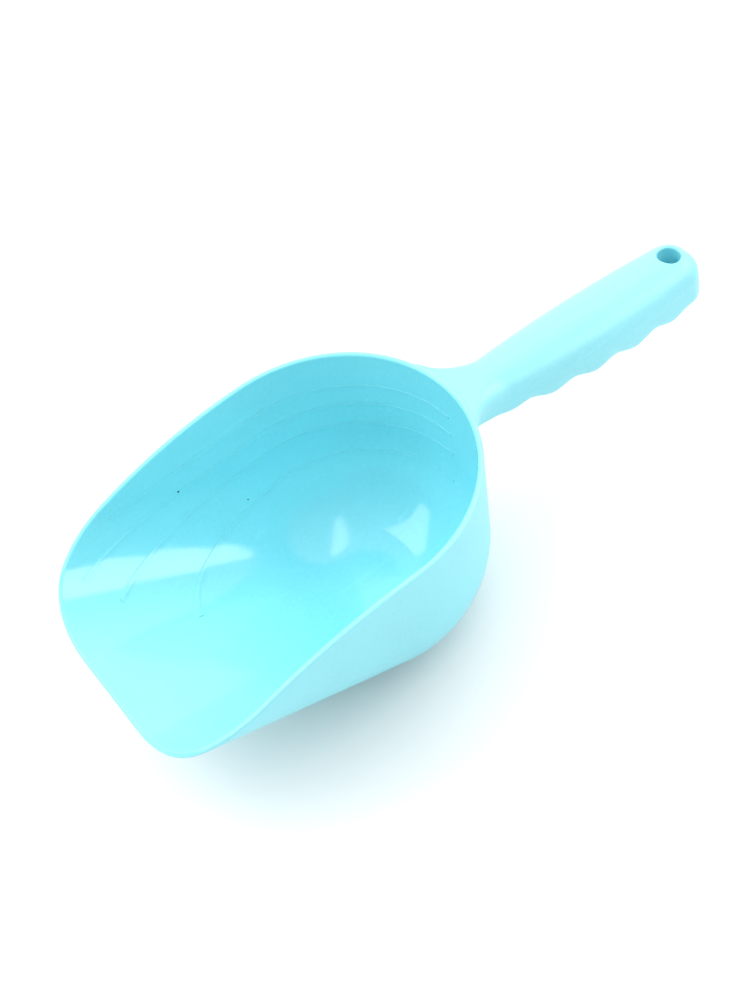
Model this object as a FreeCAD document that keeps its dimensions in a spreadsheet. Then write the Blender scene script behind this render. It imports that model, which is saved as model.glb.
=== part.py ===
import FreeCAD, Part
import math
import os

import Sketcher

# Feed scoop, millimetres.  +X runs from the bowl to the end of the grip, +Y is the
# left side seen from the grip, +Z is up.  The origin is the centre of the flat foot
# under the bowl, which is also the axis that the round back of the bowl is turned about.

os.makedirs("parts", exist_ok=True)
doc = FreeCAD.newDocument("FeedScoop")
V = FreeCAD.Vector

# ---------------------------------------------------------------- driving dimensions

SIZES = [
    # bowl
    ("bowl_radius", 56.0, "outside radius of the rim, and half of the bowl's width"),
    ("bowl_height", 75.0, "foot to rim"),
    ("bowl_wall", 2.2, "thickness of the wall and the floor"),
    ("wall_draft", 5.15, "degrees that the walls lean in towards the foot"),
    ("foot_round", 37.5, "outside radius between the walls and the floor"),
    ("ramp_angle", 25.3, "degrees that the front floor climbs"),
    ("ramp_start", 0.5, "the flat foot ends this far in front of the origin"),
    ("ramp_blend", 40.0, "radius between the flat floor and the ramp"),
    ("blank_reach", 125.0, "front of the untrimmed bowl"),
    ("rim_flat_end", 4.2, "the level rim ends this far in front of the origin"),
    ("rim_sweep_radius", 195.0, "long arc of the rim, seen from the side"),
    ("rim_sweep_angle", 25.0, "degrees that the long arc turns"),
    ("rim_lip_radius", 35.5, "tight arc that takes the rim down to the lip"),
    ("rim_round", 0.9, "rounding of the rim's two edges"),
    # raised level lines inside the bowl, the highest first
    ("line_height_one", 59.5, "height of a level line's middle above the foot"),
    ("line_height_two", 49.9, "the second line"),
    ("line_height_three", 39.2, "the third line"),
    ("line_height_four", 25.0, "the lowest line"),
    ("line_front_one", 64.0, "how far a level line reaches in front of the origin"),
    ("line_front_two", 84.0, "the second line"),
    ("line_front_three", 77.0, "the third line"),
    ("line_front_four", 60.0, "the lowest line"),
    ("line_width", 0.9, "width of a level line on an upright wall"),
    ("line_relief", 0.3, "how far a level line stands out of the wall"),
    ("line_root", 0.8, "how far a level line is rooted in the wall"),
    ("line_bare_strip", 36.0, "width of the strip down the ramp that has no lines"),
    # grip, measured at three stations along it
    ("neck_station", 60.0, "where the neck is measured"),
    ("grip_station", 115.0, "where the grip is measured"),
    ("end_station", 160.0, "where the end is measured"),
    ("neck_width", 16.8, "width at the neck"),
    ("grip_width", 25.8, "width at the grip"),
    ("end_width", 21.4, "width at the end"),
    ("neck_depth", 17.5, "depth at the neck"),
    ("grip_depth", 26.4, "depth at the grip"),
    ("end_depth", 26.0, "depth at the end"),
    ("neck_centre", 62.2, "height of the section's centre at the neck"),
    ("grip_centre", 53.2, "height of the section's centre at the grip"),
    ("end_centre", 48.5, "height of the section's centre at the end"),
    ("corner_share", 0.87, "corner radius of a section, as a share of its smaller half"),
    ("grip_end", 167.1, "far end of the grip"),
    ("end_round", 8.4, "rounding of the grip's end"),
    ("finger_first", 91.7, "first ridge between the finger grooves"),
    ("finger_pitch", 19.3, "ridge to ridge"),
    ("finger_swing", 1.3, "how far a ridge or groove leaves the mean line"),
    ("flare_upper", 30.0, "plan radius of the neck's upper edges where they meet the bowl"),
    ("flare_lower", 5.0, "plan radius of the neck's lower edges where they meet the bowl"),
    ("flare_rise", 2.5, "how far the neck's top climbs to the rim"),
    ("flare_reach", 16.6, "length over which it climbs"),
    ("flare_below", 5.0, "radius of the neck's underside where it meets the bowl"),
    ("root_corner", 1.0, "corner radius that the neck's upper edges shrink to at the bowl"),
    ("grip_wall", 2.4, "wall of the hollow grip"),
    # hang hole, cover and what holds it
    ("hang_station", 157.4, "hang hole's axis"),
    ("hang_bore", 8.8, "hang hole's diameter"),
    ("hang_round", 0.7, "rounding of the hang hole's edges"),
    ("sleeve_wall", 2.0, "wall of the sleeve round the hang hole"),
    ("cover_start", 76.0, "front end of the slot under the grip"),
    ("cover_end", 145.0, "rear end of the slot under the grip"),
    ("cover_width", 14.0, "width of the slot"),
    ("cover_gap", 0.15, "clearance round the cover"),
    ("post_diameter", 4.0, "locating posts on the cover"),
    ("post_gap", 0.1, "clearance round a post in its socket"),
    ("socket_wall", 1.6, "wall of a post socket"),
    ("rib_thickness", 1.6, "cross ribs inside the grip"),
    ("core_start", 66.0, "front end of the hollow in the grip"),
    ("core_end", 162.0, "rear end of the hollow in the grip"),
    ("roof_depth", 3.0, "ribs and sockets stop this far above the section's centre"),
    ("slot_roof", 52.0, "top of the block that cuts the slot under the grip"),
    ("slot_round", 5.0, "corners of the slot"),
    ("post_engagement", 7.0, "length of a post inside its socket"),
]

sheet = doc.addObject("Spreadsheet::Sheet", "Sizes")
for row, (alias, value, note) in enumerate(SIZES, start=1):
    sheet.set("A%d" % row, alias)
    sheet.set("B%d" % row, str(value))
    sheet.set("C%d" % row, note)
    sheet.setAlias("B%d" % row, alias)
doc.recompute()


def size(alias):
    """The value that the sheet holds for an alias."""
    return float(sheet.get(alias))


def origin_feature(body, role):
    """One of a body's own origin planes or axes."""
    return next(item for item in body.Origin.OriginFeatures if item.Role == role)


def new_sketch(body, name, role, offset=None):
    """A sketch on an origin plane, moved along the plane's normal by an expression."""
    sketch = body.newObject("Sketcher::SketchObject", name)
    sketch.AttachmentSupport = [(origin_feature(body, role), "")]
    sketch.MapMode = "FlatFace"
    if offset:
        sketch.setExpression("AttachmentOffset.Base.z", offset)
    return sketch


def lock(sketch, kind, *geometry_and_expression):
    """Add one dimension and tie it to the sheet."""
    *geometry, expression = geometry_and_expression
    value = float(sketch.evalExpression(expression))
    index = sketch.addConstraint(Sketcher.Constraint(kind, *geometry, value))
    sketch.setExpression("Constraints[%d]" % index, expression)


def lock_point(sketch, geo, pos, across, up):
    """Place a point by its two distances from the sketch's origin."""
    lock(sketch, "DistanceX", -1, 1, geo, pos, across)
    lock(sketch, "DistanceY", -1, 1, geo, pos, up)


def edges_where(shape, test):
    """Names of the edges that pass a test."""
    return ["Edge%d" % n for n, edge in enumerate(shape.Edges, start=1) if test(edge)]


def middle(edge):
    """The point halfway along an edge."""
    return edge.valueAt(0.5 * (edge.FirstParameter + edge.LastParameter))


def side_cut(body, name, build):
    """Cut right across the body through a side-view profile drawn by build(sketch)."""
    sketch = new_sketch(body, name + "Profile", "XZ_Plane")
    build(sketch)
    cut = body.newObject("PartDesign::Pocket", name)
    cut.Profile = sketch
    cut.Type = "ThroughAll"
    cut.SideType = "Symmetric"
    doc.recompute()
    return cut


def line(sketch, start, end):
    """A straight line between two points given as (x, z)."""
    return sketch.addGeometry(Part.LineSegment(V(*start, 0), V(*end, 0)))


def arc(sketch, centre, radius, first, last):
    """An arc given in degrees, anticlockwise from first to last."""
    circle = Part.Circle(V(*centre, 0), V(0, 0, 1), radius)
    return sketch.addGeometry(Part.ArcOfCircle(circle, math.radians(first), math.radians(last)))


def meet(sketch, *pairs):
    """Join ends: each pair is (element, end, element, end)."""
    for pair in pairs:
        sketch.addConstraint(Sketcher.Constraint("Coincident", *pair))


def smooth(sketch, *pairs):
    """Join ends so that the line runs on without a corner."""
    for pair in pairs:
        sketch.addConstraint(Sketcher.Constraint("Tangent", *pair))


# ---------------------------------------------------------------- the bowl

SPARE = 6.0          # how far cutters and blanks run past what they cut
CLOSE = 0.01         # lengths nearer than this are the same


def wall_sketch(body, name, role, inset, spare, whole):
    """Upright section through the block: one leaning wall, or both."""
    sketch = new_sketch(body, name, role)
    lean = math.tan(math.radians(size("wall_draft")))
    top = size("bowl_height") + spare
    top_half = size("bowl_radius") - inset + spare * lean
    foot_half = top_half - (top + SPARE) * lean
    inner = -1 if whole else 0      # the inner side mirrors the wall, or lies on the axis
    corners = [(inner * top_half, top), (top_half, top), (foot_half, -SPARE), (inner * foot_half, -SPARE)]
    sides = [line(sketch, here, after) for here, after in zip(corners, corners[1:] + corners[:1])]
    meet(sketch, *((here, 2, after, 1) for here, after in zip(sides, sides[1:] + sides[:1])))
    angle = "Sizes.wall_draft * 1 deg"
    top_text = "(Sizes.bowl_radius - %g / cos(%s) + %g * tan(%s))" % (inset, angle, spare, angle)
    foot_text = "(%s - (Sizes.bowl_height + %g) * tan(%s))" % (top_text, spare + SPARE, angle)
    high = "Sizes.bowl_height + %g" % spare
    low = "-%g" % SPARE
    spots = [("%d * %s" % (inner, top_text), high), (top_text, high), (foot_text, low),
             ("%d * %s" % (inner, foot_text), low)]
    for side, (across, up) in zip(sides, spots):
        lock_point(sketch, side, 1, across, up)
    return sketch


def floor_profile(sketch, inset):
    """Everything below the floor: flat foot, blend arc, ramp."""
    slope = math.radians(size("ramp_angle"))
    blend = size("ramp_blend")
    bend_radius = blend - inset
    flat_end = (-size("ramp_start"), inset)
    ramp_foot = (flat_end[0] - bend_radius * math.sin(slope), blend - bend_radius * math.cos(slope))
    far = -size("blank_reach") - 3 * SPARE
    ramp_top = (far, ramp_foot[1] + (ramp_foot[0] - far) * math.tan(slope))
    behind = size("bowl_radius") + SPARE
    below = -3 * SPARE
    foot = line(sketch, (behind, inset), flat_end)
    bend = arc(sketch, (flat_end[0], blend), bend_radius, 270 - size("ramp_angle"), 270)
    ramp = line(sketch, ramp_foot, ramp_top)
    fore = line(sketch, ramp_top, (far, below))
    base = line(sketch, (far, below), (behind, below))
    rear = line(sketch, (behind, below), (behind, inset))
    smooth(sketch, (foot, 2, bend, 2), (bend, 1, ramp, 1))
    meet(sketch, (ramp, 2, fore, 1), (fore, 2, base, 1), (base, 2, rear, 1), (rear, 2, foot, 1))
    for upright in (fore, rear):
        sketch.addConstraint(Sketcher.Constraint("Vertical", upright))
    for flat in (foot, base):
        sketch.addConstraint(Sketcher.Constraint("Horizontal", flat))
    lock_point(sketch, foot, 2, "-Sizes.ramp_start", "%g" % inset)
    lock_point(sketch, base, 2, "Sizes.bowl_radius + %g" % SPARE, "%g" % below)
    lock(sketch, "Radius", bend, "Sizes.ramp_blend - %g" % inset)
    lock(sketch, "DistanceX", ramp, 2, -1, 1, "Sizes.blank_reach + %g" % (3 * SPARE))
    lock(sketch, "Angle", ramp, "(180 - Sizes.ramp_angle) * 1 deg")


def is_foot_edge(edge):
    """Long edges between the floor and the walls, all flatter than 45 degrees."""
    box = edge.BoundBox
    return box.XLength > 1 and box.ZLength < box.XLength and middle(edge).z < size("bowl_height")


def tub(prefix, inset, spare):
    """The bowl as a solid block, inset from its outside by a constant distance."""
    body = doc.addObject("PartDesign::Body", prefix)
    doc.recompute()
    back = body.newObject("PartDesign::Revolution", prefix + "Back")
    back.Profile = wall_sketch(body, prefix + "BackWall", "XZ_Plane", inset, spare, False)
    back.ReferenceAxis = (origin_feature(body, "Z_Axis"), [""])
    back.Midplane = True
    back.Angle = 180
    doc.recompute()
    sides = body.newObject("PartDesign::Pad", prefix + "Sides")
    sides.Profile = wall_sketch(body, prefix + "SideWalls", "YZ_Plane", inset, spare, True)
    sides.Reversed = True
    sides.setExpression("Length", "Sizes.blank_reach + %g" % spare)
    doc.recompute()
    floor_cut = side_cut(body, prefix + "FloorCut", lambda sketch: floor_profile(sketch, inset))
    rounding = body.newObject("PartDesign::Fillet", prefix + "FootRound")
    rounding.Base = (floor_cut, edges_where(floor_cut.Shape, is_foot_edge))
    rounding.setExpression("Radius", "Sizes.foot_round - %g" % inset)
    doc.recompute()
    return body


def rim_profile(sketch):
    """Everything above the rim: level at the back, then two arcs down to the lip."""
    height = size("bowl_height")
    turn = math.radians(size("rim_sweep_angle"))
    long_arc = size("rim_sweep_radius")
    tight_arc = size("rim_lip_radius")
    level_end = (-size("rim_flat_end"), height)
    joint = (level_end[0] - long_arc * math.sin(turn), height - long_arc * (1 - math.cos(turn)))
    heart = (joint[0] + tight_arc * math.sin(turn), joint[1] - tight_arc * math.cos(turn))
    far = -size("blank_reach") - SPARE
    behind = size("bowl_radius") + 2 * SPARE
    above = height + 2 * SPARE
    nose = (heart[0] - tight_arc, heart[1])
    level = line(sketch, (behind, height), level_end)
    sweep = arc(sketch, (level_end[0], height - long_arc), long_arc, 90, 90 + size("rim_sweep_angle"))
    dive = arc(sketch, heart, tight_arc, 90 + size("rim_sweep_angle"), 180)
    out = line(sketch, nose, (far, nose[1]))
    fore = line(sketch, (far, nose[1]), (far, above))
    top = line(sketch, (far, above), (behind, above))
    rear = line(sketch, (behind, above), (behind, height))
    smooth(sketch, (level, 2, sweep, 1), (sweep, 2, dive, 1))
    meet(sketch, (dive, 2, out, 1), (out, 2, fore, 1), (fore, 2, top, 1))
    meet(sketch, (top, 2, rear, 1), (rear, 2, level, 1))
    for flat in (level, out, top):
        sketch.addConstraint(Sketcher.Constraint("Horizontal", flat))
    for upright in (fore, rear):
        sketch.addConstraint(Sketcher.Constraint("Vertical", upright))
    lock_point(sketch, level, 2, "-Sizes.rim_flat_end", "Sizes.bowl_height")
    lock_point(sketch, top, 2, "Sizes.bowl_radius + %g" % (2 * SPARE),
               "Sizes.bowl_height + %g" % (2 * SPARE))
    lock(sketch, "Radius", sweep, "Sizes.rim_sweep_radius")
    lock(sketch, "Radius", dive, "Sizes.rim_lip_radius")
    lock(sketch, "DistanceX", -1, 1, sweep, 2,
         "-Sizes.rim_flat_end - Sizes.rim_sweep_radius * sin(Sizes.rim_sweep_angle * 1 deg)")
    lock(sketch, "DistanceX", fore, 1, -1, 1, "Sizes.blank_reach + %g" % SPARE)


bowl = tub("Bowl", 0.0, SPARE)
hollow = tub("Hollow", size("bowl_wall"), 2 * SPARE)
shelling = bowl.newObject("PartDesign::Boolean", "BowlShell")
shelling.Type = "Cut"
shelling.setObjects([hollow])
doc.recompute()
rim_cut = side_cut(bowl, "RimCut", rim_profile)


def is_rim_face(face):
    """The faces that the rim cut leaves on top of the wall."""
    surface = face.Surface
    if isinstance(surface, Part.Plane):
        return face.BoundBox.ZMin > size("bowl_height") - CLOSE
    if isinstance(surface, Part.Cylinder):
        rim_radii = (size("rim_sweep_radius"), size("rim_lip_radius"))
        runs_across = abs(surface.Axis.y) > 1 - CLOSE
        return runs_across and any(abs(surface.Radius - radius) < CLOSE for radius in rim_radii)
    return False


def borders(shape, is_inside):
    """Names of the edges between the faces that pass a test and the faces that don't."""
    inside = [edge for face in shape.Faces if is_inside(face) for edge in face.Edges]
    return edges_where(shape, lambda edge: sum(edge.isSame(other) for other in inside) == 1)


rim_round = bowl.newObject("PartDesign::Fillet", "RimRound")
rim_round.Base = (rim_cut, borders(rim_cut.Shape, is_rim_face))
rim_round.setExpression("Radius", "Sizes.rim_round")
doc.recompute()


# ---------------------------------------------------------------- the grip

FLARE_ROOT = 1.2     # the bowl's back leans in by about this much at the neck's height
FINGER_START = 68.0  # the finger grooves fade in from here
FINGER_FADE = 8.0    # over this length, and fade out over it too
FINGER_RUN_OUT = 2.0  # ending this far past the end station
NECK_STATIONS = [48.5, 50.5, 52.0, 53.5, 55.0, 57.0, 60.0, 64.0, 68.0, 72.4]  # closest in the flare
CORE_STATIONS = [69.0, 72.4]                # the hollow's sections before the finger grooves
END_TURNS = [0, 22, 42, 60, 76]             # degrees round the grip's end, one section each


def share(x):
    """Weights of the neck, grip and end sizes at a place along the grip."""
    stations = [size("neck_station"), size("grip_station"), size("end_station")]
    weights = []
    for here in stations:
        others = [place for place in stations if place != here]
        weights.append(math.prod((x - other) / (here - other) for other in others))
    return weights


def along(what, x):
    """Expression for a section size at x, on a smooth curve through the three stations."""
    terms = zip(("neck", "grip", "end"), share(x))
    return "(" + " + ".join("%.5f * Sizes.%s_%s" % (weight, where, what) for where, weight in terms) + ")"


def nearness(length, x):
    """0 along the grip, growing to 1 at the bowl's back over a length."""
    return min(1.0, max(0.0, (size("bowl_radius") - FLARE_ROOT + length - x) / length))


def climb(height_name, length_name, x):
    """Expression for a quarter-round rise towards the bowl's back at x."""
    near = nearness(size(length_name), x)
    return "%.5f * Sizes.%s" % (1 - math.sqrt(1 - near * near), height_name)


def flare(radius_name, x):
    """Expression for how far the neck's side has spread at x.

    Seen from above, the side follows an arc that touches both the neck and the round back.
    """
    radius = size(radius_name)
    bowl_radius = size("bowl_radius")
    reach = math.sqrt((bowl_radius + radius) ** 2 - (size("neck_width") / 2 + radius) ** 2)
    touch = reach * bowl_radius / (bowl_radius + radius)
    here = max(x, touch)
    if here >= reach:
        return "0"
    arc_text = "Sizes." + radius_name
    reach_text = "sqrt((Sizes.bowl_radius + %s)^2 - (Sizes.neck_width / 2 + %s)^2)" % (arc_text, arc_text)
    return "(%s - sqrt(%s^2 - (%s - %.5f)^2))" % (arc_text, arc_text, reach_text, here)


def finger_wave(x):
    """Shape of the finger grooves at x: 1 on a ridge, -1 in a groove, fading to 0 at both ends."""
    turns = (x - size("finger_first")) / size("finger_pitch")
    fade_in = min(1.0, max(0.0, (x - FINGER_START) / FINGER_FADE))
    fade_out = min(1.0, max(0.0, (size("end_station") + FINGER_RUN_OUT - x) / FINGER_FADE))
    return math.cos(2 * math.pi * turns) * fade_in * fade_out


def grip_section(body, name, x, inset):
    """A section across the grip at x, inset from the grip's outside.

    It is a rectangle with round corners, and near the bowl its upper edge is the wider one.
    """
    sketch = new_sketch(body, name, "YZ_Plane", "%g" % x)
    half = "(%s / 2)" % along("width", x)
    depth = along("depth", x)
    centre = along("centre", x)
    upper = "(%s + %s - %g)" % (half, flare("flare_upper", x), inset)
    lower = "(%s + %s - %g)" % (half, flare("flare_lower", x), inset)
    top = "(%s + %s / 2 + %s - %g)" % (centre, depth, climb("flare_rise", "flare_reach", x), inset)
    drop = climb("flare_below", "flare_below", x)
    wave = "%.5f * Sizes.finger_swing" % finger_wave(x)
    bottom = "(%s - %s / 2 - %s - %s + %g)" % (centre, depth, drop, wave, inset)
    lean = "((%s - %s) / (%s - %s))" % (upper, lower, top, bottom)
    corner = "(Sizes.corner_share * min(%s; %s / 2))" % (half, depth)
    shrink = nearness(size("flare_reach"), x)
    upper_round = "(%s + (Sizes.root_corner - %s) * %.5f - %g)" % (corner, corner, shrink, inset)
    lower_round = "(%s - %g)" % (corner, inset)
    upper_across = "(%s - %s * (sqrt(1 + %s^2) + %s))" % (upper, upper_round, lean, lean)
    lower_across = "(%s - %s * (sqrt(1 + %s^2) - %s))" % (lower, lower_round, lean, lean)
    upper_height = "(%s - %s)" % (top, upper_round)
    lower_height = "(%s + %s)" % (bottom, lower_round)
    slope = math.atan(float(sketch.evalExpression(lean)))
    degrees = math.degrees(slope)
    rounds = [corner_round(sketch, *spot) for spot in (
        (1, upper_across, upper_height, upper_round, -degrees, 90),
        (-1, upper_across, upper_height, upper_round, 90, 180 + degrees),
        (-1, lower_across, lower_height, lower_round, 180 + degrees, 270),
        (1, lower_across, lower_height, lower_round, 270, 360 - degrees))]
    ends = [(sketch.getPoint(bend, 1), sketch.getPoint(bend, 2)) for bend in rounds]
    for n, bend in enumerate(rounds):
        following = (n + 1) % len(rounds)
        start, finish = ends[n][1], ends[following][0]
        side = line(sketch, (start.x, start.y), (finish.x, finish.y))
        smooth(sketch, (bend, 2, side, 1), (side, 2, rounds[following], 1))
    return sketch


def corner_round(sketch, hand, across, height, radius, first, last):
    """A corner's arc, with its centre and its radius tied to expressions."""
    across_text = across if hand > 0 else "-" + across
    values = [float(sketch.evalExpression(text)) for text in (across_text, height, radius)]
    bend = arc(sketch, values[:2], values[2], first, last)
    lock_point(sketch, bend, 3, across_text, height)
    lock(sketch, "Radius", bend, radius)
    return bend


def grip_loft(prefix, stations):
    """A solid through sections given as pairs of a place along the grip and an inset."""
    body = doc.addObject("PartDesign::Body", prefix)
    doc.recompute()
    sections = [grip_section(body, "%sSection%02d" % (prefix, n), x, inset)
                for n, (x, inset) in enumerate(stations, start=1)]
    doc.recompute()
    loft = body.newObject("PartDesign::AdditiveLoft", prefix + "Loft")
    loft.Profile = sections[0]
    loft.Sections = sections[1:]
    loft.Ruled = False
    doc.recompute()
    return body


first = size("finger_first")
quarter_pitch = size("finger_pitch") / 4
finger_stations = [first + quarter_pitch * n for n in range(-3, 14)]
end_radius = size("end_round")
end_stations = [(size("grip_end") - end_radius * (1 - math.sin(turn)), end_radius * (1 - math.cos(turn)))
                for turn in map(math.radians, END_TURNS)]
grip_stations = [(x, 0.0) for x in NECK_STATIONS + finger_stations] + end_stations
core_places = [size("core_start")] + CORE_STATIONS + finger_stations + [size("core_end")]

grip_block = grip_loft("GripBlock", grip_stations)
grip_core = grip_loft("GripCore", [(x, size("grip_wall")) for x in core_places])


# ---------------------------------------------------------------- inside the grip

LOW = 20.0           # bars and cutters start at this height, under the grip
HIGH = 90.0          # and stop at this height, above everything


def cylinder(name, x, diameter, low, high):
    """An upright round bar on the part's middle plane."""
    bar = doc.addObject("Part::Cylinder", name)
    bar.setExpression("Radius", "(%s) / 2" % diameter)
    bar.setExpression("Height", "(%s) - (%s)" % (high, low))
    bar.setExpression("Placement.Base.x", x)
    bar.setExpression("Placement.Base.z", low)
    return bar


def block(name, x_low, x_high, width, low, high):
    """An upright block centred on the part's middle plane."""
    bar = doc.addObject("Part::Box", name)
    bar.setExpression("Length", "(%s) - (%s)" % (x_high, x_low))
    bar.setExpression("Width", width)
    bar.setExpression("Height", "(%s) - (%s)" % (high, low))
    bar.setExpression("Placement.Base.x", x_low)
    bar.setExpression("Placement.Base.y", "-(%s) / 2" % width)
    bar.setExpression("Placement.Base.z", low)
    return bar


def cut(name, base, tool):
    """base without tool."""
    result = doc.addObject("Part::Cut", name)
    result.Base = base
    result.Tool = tool
    return result


def fuse(name, shapes):
    """Several shapes as one."""
    result = doc.addObject("Part::MultiFuse", name)
    result.Shapes = shapes
    return result


def ledge(x):
    """Height at which ribs and sockets stop, a little above the section's centre."""
    return along("centre", x) + " + Sizes.roof_depth"


# two posts under the first and the third ridge, and two ribs either side of the second
post_stations = [first, first + 2 * size("finger_pitch")]
post_texts = ["Sizes.finger_first", "Sizes.finger_first + 2 * Sizes.finger_pitch"]
rib_stations = [first + pitches * size("finger_pitch") for pitches in (0.75, 1.25)]

sleeve = cylinder("Sleeve", "Sizes.hang_station", "Sizes.hang_bore + 2 * Sizes.sleeve_wall",
                  "%g" % LOW, "%g" % HIGH)
sockets = [cylinder("Socket%d" % n, text, "Sizes.post_diameter + 2 * (Sizes.post_gap + Sizes.socket_wall)",
                    ledge(x), "%g" % HIGH)
           for n, (x, text) in enumerate(zip(post_stations, post_texts), start=1)]
ribs = [block("Rib%d" % n, "%g - Sizes.rib_thickness / 2" % x, "%g + Sizes.rib_thickness / 2" % x,
              "Sizes.grip_width", ledge(x), "%g" % HIGH)
        for n, x in enumerate(rib_stations, start=1)]
stiffeners = fuse("Stiffeners", [sleeve] + sockets + ribs)
grip_hollow = cut("GripHollow", grip_core, stiffeners)

slot_blank = block("SlotBlank", "Sizes.cover_start", "Sizes.cover_end", "Sizes.cover_width",
                   "%g" % LOW, "Sizes.slot_roof")
cover_blank = block("CoverBlank", "Sizes.cover_start + Sizes.cover_gap",
                    "Sizes.cover_end - Sizes.cover_gap", "Sizes.cover_width - 2 * Sizes.cover_gap",
                    "%g" % LOW, "Sizes.slot_roof - Sizes.cover_gap")
hang_bore = cylinder("HangBore", "Sizes.hang_station", "Sizes.hang_bore", "%g" % LOW, "%g" % HIGH)
post_bores = [cylinder("PostBore%d" % n, text, "Sizes.post_diameter + 2 * Sizes.post_gap",
                       "%g" % LOW, ledge(x) + " + Sizes.post_engagement + Sizes.post_gap")
              for n, (x, text) in enumerate(zip(post_stations, post_texts), start=1)]
doc.recompute()


def rounded_corners(name, base, radius):
    """A block with its four upright edges rounded."""
    result = doc.addObject("Part::Fillet", name)
    result.Base = base
    upright = [n for n, edge in enumerate(base.Shape.Edges, start=1)
               if edge.BoundBox.XLength < CLOSE and edge.BoundBox.YLength < CLOSE]
    result.Edges = [(n, radius, radius) for n in upright]
    return result


slot = rounded_corners("Slot", slot_blank, size("slot_round"))
cover_window = rounded_corners("CoverWindow", cover_blank, size("slot_round") - size("cover_gap"))

# the neck stops in the middle of the bowl's wall
seat = doc.addObject("Part::Cone", "NeckSeat")
lean_text = "tan(Sizes.wall_draft * 1 deg)"
seat.setExpression("Radius1", "Sizes.bowl_radius - Sizes.bowl_wall / 2 - Sizes.bowl_height * %s" % lean_text)
seat.setExpression("Radius2", "Sizes.bowl_radius - Sizes.bowl_wall / 2 + %g * %s" % (SPARE, lean_text))
seat.setExpression("Height", "Sizes.bowl_height + %g" % SPARE)
doc.recompute()

# ---------------------------------------------------------------- level lines in the bowl

# the lines are on the left wall only, and stop at the middle of the round back
line_outer = tub("LineOuter", size("bowl_wall") - size("line_root"), SPARE)
line_inner = tub("LineInner", size("bowl_wall") + size("line_relief"), 2 * SPARE)
line_skin = cut("LineSkin", line_outer, line_inner)
levels = [block("Level" + word.title(), "-Sizes.line_front_" + word, "Sizes.bowl_radius",
                "2 * Sizes.bowl_radius", "Sizes.line_height_%s - Sizes.line_width / 2" % word,
                "Sizes.line_height_%s + Sizes.line_width / 2" % word)
          for word in ("one", "two", "three", "four")]
bare_strip = block("BareStrip", "-Sizes.blank_reach", "0", "Sizes.line_bare_strip", "0", "Sizes.bowl_height")
bare_half = block("BareHalf", "-Sizes.blank_reach", "Sizes.bowl_radius", "Sizes.bowl_radius", "0",
                  "Sizes.bowl_height")
bare_half.setExpression("Placement.Base.y", "-Sizes.bowl_radius")
level_slabs = cut("LevelSlabs", fuse("LevelStack", levels), fuse("BareParts", [bare_strip, bare_half]))
level_lines = doc.addObject("Part::MultiCommon", "LevelLines")
level_lines.Shapes = [line_skin, level_slabs]
doc.recompute()

cutters = fuse("GripCutters", [grip_hollow, slot, hang_bore] + post_bores + [seat])
grip_shell = cut("GripShell", grip_block, cutters)
doc.recompute()


def is_hang_edge(edge):
    """The edges where the hang hole leaves the grip."""
    ends = [edge.valueAt(edge.FirstParameter), middle(edge)]
    radii = [math.hypot(point.x - size("hang_station"), point.y) for point in ends]
    is_upright = edge.BoundBox.XLength < CLOSE and edge.BoundBox.YLength < CLOSE
    return not is_upright and all(abs(radius - size("hang_bore") / 2) < CLOSE for radius in radii)


grip_finished = doc.addObject("Part::Fillet", "GripFinished")
grip_finished.Base = grip_shell
hang_edges = [n for n, edge in enumerate(grip_shell.Shape.Edges, start=1) if is_hang_edge(edge)]
grip_finished.Edges = [(n, size("hang_round"), size("hang_round")) for n in hang_edges]
scoop_moulding = fuse("ScoopMoulding", [bowl, level_lines, grip_finished])
scoop_moulding.Label = "scoop_moulding"
doc.recompute()

# ---------------------------------------------------------------- the cover

posts = [cylinder("Post%d" % n, text, "Sizes.post_diameter",
                  "%s - %s / 2" % (along("centre", x), along("depth", x)),
                  ledge(x) + " + Sizes.post_engagement")
         for n, (x, text) in enumerate(zip(post_stations, post_texts), start=1)]
grip_skin = cut("GripSkin", grip_block, grip_core)
cover_skin = doc.addObject("Part::MultiCommon", "CoverSkin")
cover_skin.Shapes = [grip_skin, cover_window]
grip_cover = fuse("GripCover", [cover_skin] + posts)
grip_cover.Label = "grip_cover"
doc.recompute()


# ---------------------------------------------------------------- checks and files

NODES = [scoop_moulding, grip_cover]

for item in doc.Objects:
    if "Invalid" in item.State or "Error" in item.State:
        raise RuntimeError("%s failed: %s" % (item.Name, item.State))
for node in NODES:
    if node.Shape.isNull() or not node.Shape.isValid() or len(node.Shape.Solids) != 1:
        raise RuntimeError("%s isn't one valid solid" % node.Label)
for node in NODES:
    node.Shape.exportStep("parts/%s.step" % node.Label)
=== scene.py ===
import math

import bpy
from mathutils import Matrix, Vector


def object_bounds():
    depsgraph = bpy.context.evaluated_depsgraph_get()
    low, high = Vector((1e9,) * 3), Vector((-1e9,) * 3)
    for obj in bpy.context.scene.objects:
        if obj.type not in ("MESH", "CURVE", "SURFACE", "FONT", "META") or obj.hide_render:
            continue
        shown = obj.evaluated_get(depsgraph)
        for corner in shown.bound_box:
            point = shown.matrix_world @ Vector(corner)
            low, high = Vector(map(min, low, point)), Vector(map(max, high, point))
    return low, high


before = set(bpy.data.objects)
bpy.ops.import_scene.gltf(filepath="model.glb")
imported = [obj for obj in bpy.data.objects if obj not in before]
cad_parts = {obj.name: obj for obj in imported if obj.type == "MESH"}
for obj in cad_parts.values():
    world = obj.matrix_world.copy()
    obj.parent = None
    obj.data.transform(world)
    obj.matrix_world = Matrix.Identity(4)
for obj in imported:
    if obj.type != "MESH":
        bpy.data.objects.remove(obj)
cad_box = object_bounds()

# Looks of the feed scoop, in metres, in the part's own frame: +X runs from the bowl to the
# end of the grip, +Y is the left side looking along +X, +Z is up.  The origin is at the foot,
# on the axis of the bowl's round back.

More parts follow.
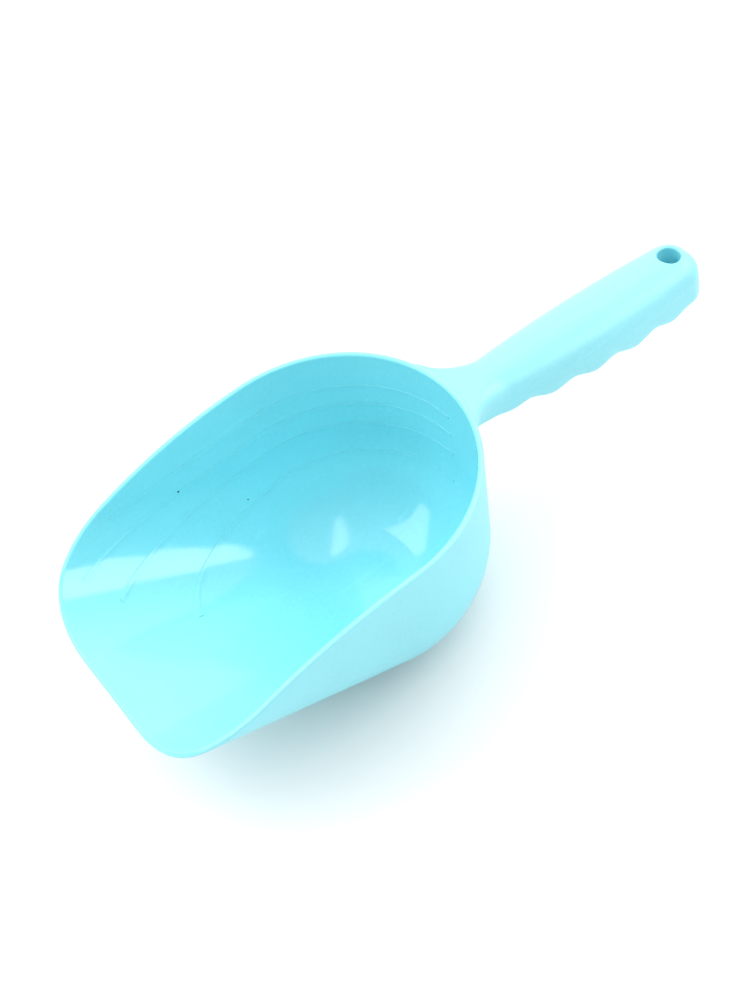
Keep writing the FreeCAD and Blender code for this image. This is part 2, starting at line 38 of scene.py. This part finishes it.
WHITE = (1.0, 1.0, 1.0, 1.0)
WHOLE = (0.0, 1.0)                           # the full range of a mask


# ---------------------------------------------------------------- shader nodes

def noise(tree, position, scale, detail):
    """A noise texture's value at a position."""
    node = tree.nodes.new("ShaderNodeTexNoise")
    node.inputs["Scale"].default_value = scale
    node.inputs["Detail"].default_value = detail
    tree.links.new(position, node.inputs["Vector"])
    return node.outputs["Fac"]


def spread(tree, value, source, target):
    """Map a value from one range to another and stop at its ends."""
    node = tree.nodes.new("ShaderNodeMapRange")
    ends = ("From Min", "From Max", "To Min", "To Max")
    for socket, number in zip(ends, (*source, *target)):
        node.inputs[socket].default_value = number
    tree.links.new(value, node.inputs["Value"])
    return node.outputs["Result"]


def calculate(tree, operation, first, second):
    """One arithmetic step on two values."""
    node = tree.nodes.new("ShaderNodeMath")
    node.operation = operation
    tree.links.new(first, node.inputs[0])
    tree.links.new(second, node.inputs[1])
    return node.outputs["Value"]


def vector_step(tree, operation, first, second=None):
    """One step on one or two vectors; the second may be a plain one."""
    node = tree.nodes.new("ShaderNodeVectorMath")
    node.operation = operation
    tree.links.new(first, node.inputs[0])
    if isinstance(second, bpy.types.NodeSocket):
        tree.links.new(second, node.inputs[1])
    elif second is not None:
        node.inputs[1].default_value = second
    return node


MIX_COLORS = (6, 7)                          # the Mix node's two colour inputs, by place
MIX_RESULT = 2                               # and its colour output


def blend(tree, amount, first, second):
    """Mix two colours; each is a socket or a plain colour."""
    node = tree.nodes.new("ShaderNodeMix")
    node.data_type = "RGBA"
    tree.links.new(amount, node.inputs["Factor"])
    for place, color in zip(MIX_COLORS, (first, second)):
        if isinstance(color, bpy.types.NodeSocket):
            tree.links.new(color, node.inputs[place])
        else:
            node.inputs[place].default_value = color
    return node.outputs[MIX_RESULT]


def bump(tree, height, depth, below=None):
    """A normal that rises and falls with a height, over an earlier normal."""
    node = tree.nodes.new("ShaderNodeBump")
    node.inputs["Distance"].default_value = depth
    tree.links.new(height, node.inputs["Height"])
    if below is not None:
        tree.links.new(below, node.inputs["Normal"])
    return node.outputs["Normal"]


# ---------------------------------------------------------------- camera

VIEW_AZIMUTH = -21.3                         # degrees, as are the next two
VIEW_ELEVATION = 52.5
VIEW_ROLL = -18.8
VIEW_DISTANCE = 0.658
VIEW_TARGET = Vector((0.0189, 0.0177, 0.025))
LENS_MM = 63.4
NEAREST_SEEN = 0.01


def view_axes(azimuth, elevation):
    """Right, up and backward directions of a level camera that looks from there."""
    around = math.radians(azimuth)
    above = math.radians(elevation)
    level = math.cos(above)
    back = Vector((math.sin(around) * level, -math.cos(around) * level, math.sin(above)))
    right = Vector((math.cos(around), math.sin(around), 0.0))
    return right, back.cross(right), back


def make_camera():
    """The camera, rolled so that the scoop climbs to the right."""
    right, up, back = view_axes(VIEW_AZIMUTH, VIEW_ELEVATION)
    roll = math.radians(VIEW_ROLL)
    rolled_right = right * math.cos(roll) + up * math.sin(roll)
    rolled_up = up * math.cos(roll) - right * math.sin(roll)
    turn = Matrix((rolled_right, rolled_up, back)).transposed().to_4x4()
    data = bpy.data.cameras.new("camera")
    data.lens = LENS_MM
    data.clip_start = NEAREST_SEEN
    camera = bpy.data.objects.new("camera", data)
    camera.matrix_world = Matrix.Translation(VIEW_TARGET + back * VIEW_DISTANCE) @ turn
    bpy.context.collection.objects.link(camera)
    bpy.context.scene.camera = camera


# ---------------------------------------------------------------- studio

FLOOR_SIZE = 6.0
FLOOR_COLOR = (0.84, 0.84, 0.84, 1.0)
FLOOR_ROUGHNESS = 0.9
FLOOR_SHINE = 0.1
TENT_SIDE = (128.0, 52.0)                    # azimuth and elevation of the tent's bright side
TENT_DIM = 0.56                              # strength of the half that faces away from it
TENT_BRIGHT = 2.4                            # strength in the middle of the bright side
TENT_IN_GLOSS = 0.6                          # how much of the tent the gloss shows
SOFTBOX_DISTANCE = 1.2


def make_floor():
    """A plain pale floor that the scoop stands on."""
    bpy.ops.mesh.primitive_plane_add(size=FLOOR_SIZE, location=(0.0, 0.0, cad_box[0][2]))
    floor = bpy.context.object
    floor.name = "floor"
    material = bpy.data.materials.new("floor_paper")
    material.use_nodes = True
    shader = material.node_tree.nodes["Principled BSDF"]
    shader.inputs["Base Color"].default_value = FLOOR_COLOR
    shader.inputs["Roughness"].default_value = FLOOR_ROUGHNESS
    shader.inputs["Specular IOR Level"].default_value = FLOOR_SHINE
    floor.data.materials.append(material)


def make_world():
    """White light from all round, like a photographer's tent, strongest at TENT_SIDE."""
    world = bpy.data.worlds.new("studio")
    world.use_nodes = True
    tree = world.node_tree
    background = tree.nodes["Background"]
    background.inputs["Color"].default_value = WHITE
    direction = tree.nodes.new("ShaderNodeTexCoord").outputs["Generated"]
    bright_side = view_axes(*TENT_SIDE)[2]
    toward = vector_step(tree, "DOT_PRODUCT", direction, bright_side).outputs["Value"]
    tent = spread(tree, toward, WHOLE, (TENT_DIM, TENT_BRIGHT))
    in_gloss = tree.nodes.new("ShaderNodeLightPath").outputs["Is Glossy Ray"]
    share = spread(tree, in_gloss, WHOLE, (1.0, TENT_IN_GLOSS))
    strength = calculate(tree, "MULTIPLY", tent, share)
    tree.links.new(strength, background.inputs["Strength"])
    bpy.context.scene.world = world


def softbox(name, shape, azimuth, elevation, turn, width, height, strength):
    """A soft light that faces the origin, turned round its own axis.

    The strength is its power over pi and over its width times its height.
    """
    right, up, back = view_axes(azimuth, elevation)
    data = bpy.data.lights.new(name, "AREA")
    data.shape = shape
    data.size = width
    data.size_y = height
    data.energy = strength * width * height * math.pi
    light = bpy.data.objects.new(name, data)
    axes = Matrix((right, up, back)).transposed().to_4x4()
    facing = axes @ Matrix.Rotation(math.radians(turn), 4, "Z")
    light.matrix_world = Matrix.Translation(back * SOFTBOX_DISTANCE) @ facing
    bpy.context.collection.objects.link(light)
    return light


def make_softboxes():
    """A window that lights the scoop, and two that are seen in the gloss only."""
    softbox("back_window", "RECTANGLE", azimuth=-130, elevation=46, turn=-61,
            width=0.97, height=0.50, strength=3.3)
    window = softbox("window", "RECTANGLE", azimuth=55, elevation=24, turn=0,
                     width=1.25, height=0.62, strength=5.2)
    top_window = softbox("top_window", "ELLIPSE", azimuth=66, elevation=88, turn=0,
                         width=0.95, height=0.16, strength=2.8)
    for reflector in (window, top_window):
        reflector.visible_diffuse = False


# ---------------------------------------------------------------- plastic

SCOOP_COLOR = (0.225, 0.71, 0.80)
COVER_COLOR = (0.215, 0.69, 0.78)
PLASTIC_IOR = 1.5

CLOUD_SCALE = 24.0                           # features per metre, as are the next three
MOTTLE_SCALE = 700.0
PEEL_SCALE = 240.0
GRAIN_SCALE = 1500.0
RUB_STRETCH = (14.0, 330.0, 330.0)           # features per metre; rubs run along the scoop
RUB_SCALE = 1.0                              # on top of the stretch
FINE_DETAIL = 3.0                            # octaves of noise in the mottling and the rubs
SOFT_DETAIL = 2.0                            # and in the cloudiness, the peel and the grain

CLOUD_BAND = (0.3, 0.7)                      # noise values where an effect starts and is full
MOTTLE_BAND = (0.35, 0.75)
RUB_BAND = (0.62, 0.74)

CLOUD_SHADES = (0.955, 1.03)                 # brightness of the plastic, darkest and palest
MOTTLE_SHADE = 1.08
MOTTLE_AMOUNT = 0.5
RUB_SHADE = 1.2
RUB_AMOUNT = 0.2

POLISH = 0.10                                # roughness of the inside of the bowl
SATIN = 0.42                                 # roughness of the outside and the grip
CLOUD_ROUGHNESS = (-0.02, 0.03)              # added to both
RUB_ROUGHNESS = 0.14
PAINTED_SATIN_SHEEN = 0.05                            # how much whiter the satin is painted: a painted sheen for its rough gloss
PAINTED_SHEEN_WHITE = (0.9, 0.9, 0.9, 1.0)

PEEL_DEPTH = 1.1e-5                          # metres
GRAIN_DEPTH = 9e-6                           # on the satin
POLISHED_GRAIN = 0.15                        # share of the grain left on the polished inside

RIM_HEIGHT = cad_box[1][2]                   # the rim's top is the part's highest edge
POLISH_MARGIN = 0.0005                       # the polish starts to fade this far inside the rim
POLISH_FADE = 0.001                          # and is gone this much further out
BOWL_REACH = cad_box[1][1] - POLISH_MARGIN
FACING_BAND = (-0.002, 0.0)                  # metres; below 0 a surface faces the middle line
FROM_AXIS = (0.0, -1.0, -1.0)                # on the lip's side of the axis x counts as 0
LEVEL = (1.0, 1.0, 0.0)                      # keeps x and y, and drops the height

SPECK_COLOR = (0.02, 0.03, 0.035, 1.0)
SPECK_EDGE = (0.7, 1.3)                      # shares of its radius where a speck fades
SPECKS = (                                   # x, y, z and radius
    (-0.0369, 0.0513, 0.0504, 0.0004),
    (-0.0148, 0.0473, 0.0276, 0.0003),
)


def shade(color, factor):
    """A colour made lighter or darker."""
    return (*(channel * factor for channel in color), 1.0)


def specks(tree, place):
    """1 on the two dark specks in the plastic, 0 elsewhere."""
    total = None
    for x, y, z, radius in SPECKS:
        away = vector_step(tree, "DISTANCE", place, (x, y, z)).outputs["Value"]
        edge = [share * radius for share in SPECK_EDGE]
        spot = spread(tree, away, edge, (1.0, 0.0))
        total = spot if total is None else calculate(tree, "MAXIMUM", total, spot)
    return total


def rubs(tree, place):
    """1 on faint hairline rubs from use, 0 elsewhere."""
    stretch = tree.nodes.new("ShaderNodeMapping")
    stretch.inputs["Scale"].default_value = RUB_STRETCH
    tree.links.new(place, stretch.inputs["Vector"])
    lines = noise(tree, stretch.outputs["Vector"], RUB_SCALE, FINE_DETAIL)
    return spread(tree, lines, RUB_BAND, WHOLE)


def polished(tree, place, normal):
    """1 inside the bowl, 0 on its outside and on the grip.

    The inside faces the line that runs from the bowl's centre to the lip at the rim's height.
    """
    from_line = vector_step(tree, "MAXIMUM", place, FROM_AXIS).outputs["Vector"]
    outward = vector_step(tree, "SUBTRACT", from_line, (0.0, 0.0, RIM_HEIGHT)).outputs["Vector"]
    facing = vector_step(tree, "DOT_PRODUCT", outward, normal).outputs["Value"]
    level = vector_step(tree, "MULTIPLY", from_line, LEVEL).outputs["Vector"]
    reach = vector_step(tree, "LENGTH", level).outputs["Value"]
    faces_in = spread(tree, facing, FACING_BAND, (1.0, 0.0))
    within = spread(tree, reach, (BOWL_REACH, BOWL_REACH + POLISH_FADE), (1.0, 0.0))
    return calculate(tree, "MULTIPLY", faces_in, within)


def plastic_tint(tree, place, color, inside, cloud, worn):
    """The plastic's colour, with its cloudiness, mottling, rubs, a painted sheen that whitens
    the satin, and specks.
    """
    mottle = noise(tree, place, MOTTLE_SCALE, FINE_DETAIL)
    tint = blend(tree, cloud, *(shade(color, factor) for factor in CLOUD_SHADES))
    mottled = spread(tree, mottle, MOTTLE_BAND, (0.0, MOTTLE_AMOUNT))
    tint = blend(tree, mottled, tint, shade(color, MOTTLE_SHADE))
    rubbed = spread(tree, worn, WHOLE, (0.0, RUB_AMOUNT))
    tint = blend(tree, rubbed, tint, shade(color, RUB_SHADE))
    # painted sheen: the satin outside and grip are whitened to stand in for their rough gloss
    painted_sheen = spread(tree, inside, WHOLE, (PAINTED_SATIN_SHEEN, 0.0))
    tint = blend(tree, painted_sheen, tint, PAINTED_SHEEN_WHITE)
    return blend(tree, specks(tree, place), tint, SPECK_COLOR)


def plastic_roughness(tree, inside, cloud, worn):
    """Polished inside and satin elsewhere, rougher on the rubs."""
    finish = spread(tree, inside, WHOLE, (SATIN, POLISH))
    clouded = calculate(tree, "ADD", finish, spread(tree, cloud, WHOLE, CLOUD_ROUGHNESS))
    return calculate(tree, "ADD", clouded, spread(tree, worn, WHOLE, (0.0, RUB_ROUGHNESS)))


def plastic_skin(tree, place, inside):
    """An orange-peel skin, with a fine grain that is fainter on the polished inside."""
    peel = bump(tree, noise(tree, place, PEEL_SCALE, SOFT_DETAIL), PEEL_DEPTH)
    kept = spread(tree, inside, WHOLE, (1.0, POLISHED_GRAIN))
    grain = calculate(tree, "MULTIPLY", noise(tree, place, GRAIN_SCALE, SOFT_DETAIL), kept)
    return bump(tree, grain, GRAIN_DEPTH, peel)


def plastic(name, color):
    """Moulded plastic: polished inside the bowl, satin elsewhere, cloudy and lightly rubbed."""
    material = bpy.data.materials.new(name)
    material.use_nodes = True
    tree = material.node_tree
    shader = tree.nodes["Principled BSDF"]
    coordinates = tree.nodes.new("ShaderNodeTexCoord")
    place = coordinates.outputs["Object"]
    inside = polished(tree, place, coordinates.outputs["Normal"])
    cloud = spread(tree, noise(tree, place, CLOUD_SCALE, SOFT_DETAIL), CLOUD_BAND, WHOLE)
    worn = rubs(tree, place)
    parts = {
        "Base Color": plastic_tint(tree, place, color, inside, cloud, worn),
        "Roughness": plastic_roughness(tree, inside, cloud, worn),
        "Normal": plastic_skin(tree, place, inside),
    }
    for socket, value in parts.items():
        tree.links.new(value, shader.inputs[socket])
    shader.inputs["IOR"].default_value = PLASTIC_IOR
    return material


# ---------------------------------------------------------------- the scene

skins = {
    "scoop_moulding": plastic("scoop_plastic", SCOOP_COLOR),
    "grip_cover": plastic("cover_plastic", COVER_COLOR),
}

make_camera()
make_floor()
make_world()
make_softboxes()

for node_name, skin in skins.items():
    for material_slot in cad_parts[node_name].material_slots:
        material_slot.material = skin

bpy.context.scene.view_settings.view_transform = "Standard"
